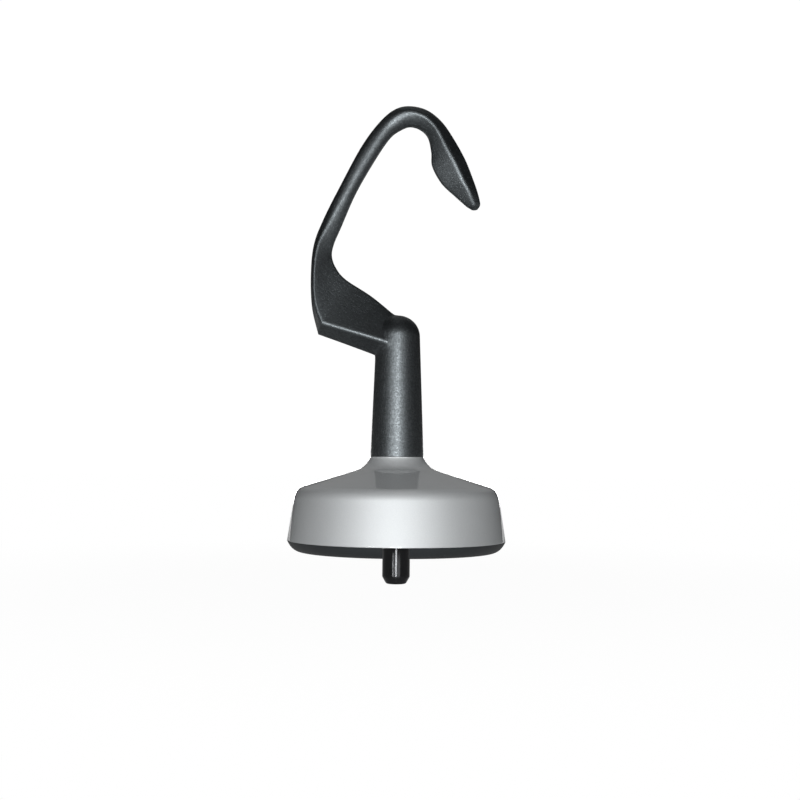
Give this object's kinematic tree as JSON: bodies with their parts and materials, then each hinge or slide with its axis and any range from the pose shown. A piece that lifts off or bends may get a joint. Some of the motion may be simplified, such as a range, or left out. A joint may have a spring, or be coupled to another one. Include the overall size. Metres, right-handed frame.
{
  "type": "stand mixer dough hook",
  "caption": "Dark cast C-shaped dough hook on a tapered stem, with a silver bell-shaped guard, a dark rim ring and a round drive shaft with a flat, for a stand mixer.",
  "frame": {"origin": "on the shaft's axis at the shaft's shoulder, where the drive socket stops", "axes": "+Z along the shaft's axis from the free end of the shaft up the stem, -Y to the front of the hook, +X to the side of the paddle"},
  "size_m": [0.0868, 0.0868, 0.1922],
  "materials": {
    "hook_casting": "dark grey metallic coating on a die casting",
    "shaft_steel": "blackened and polished",
    "guard_silver": "glossy silver metallic lacquer",
    "rim_dark": "satin",
    "spring_steel": "oiled"
  },
  "bodies": {
    "root": {"hook": "hook_casting", "drive_shaft": "shaft_steel", "spring_pin": "spring_steel", "guard": "guard_silver", "rim_ring": "rim_dark", "retaining_ring": "spring_steel"}
  },
  "joints": []
}
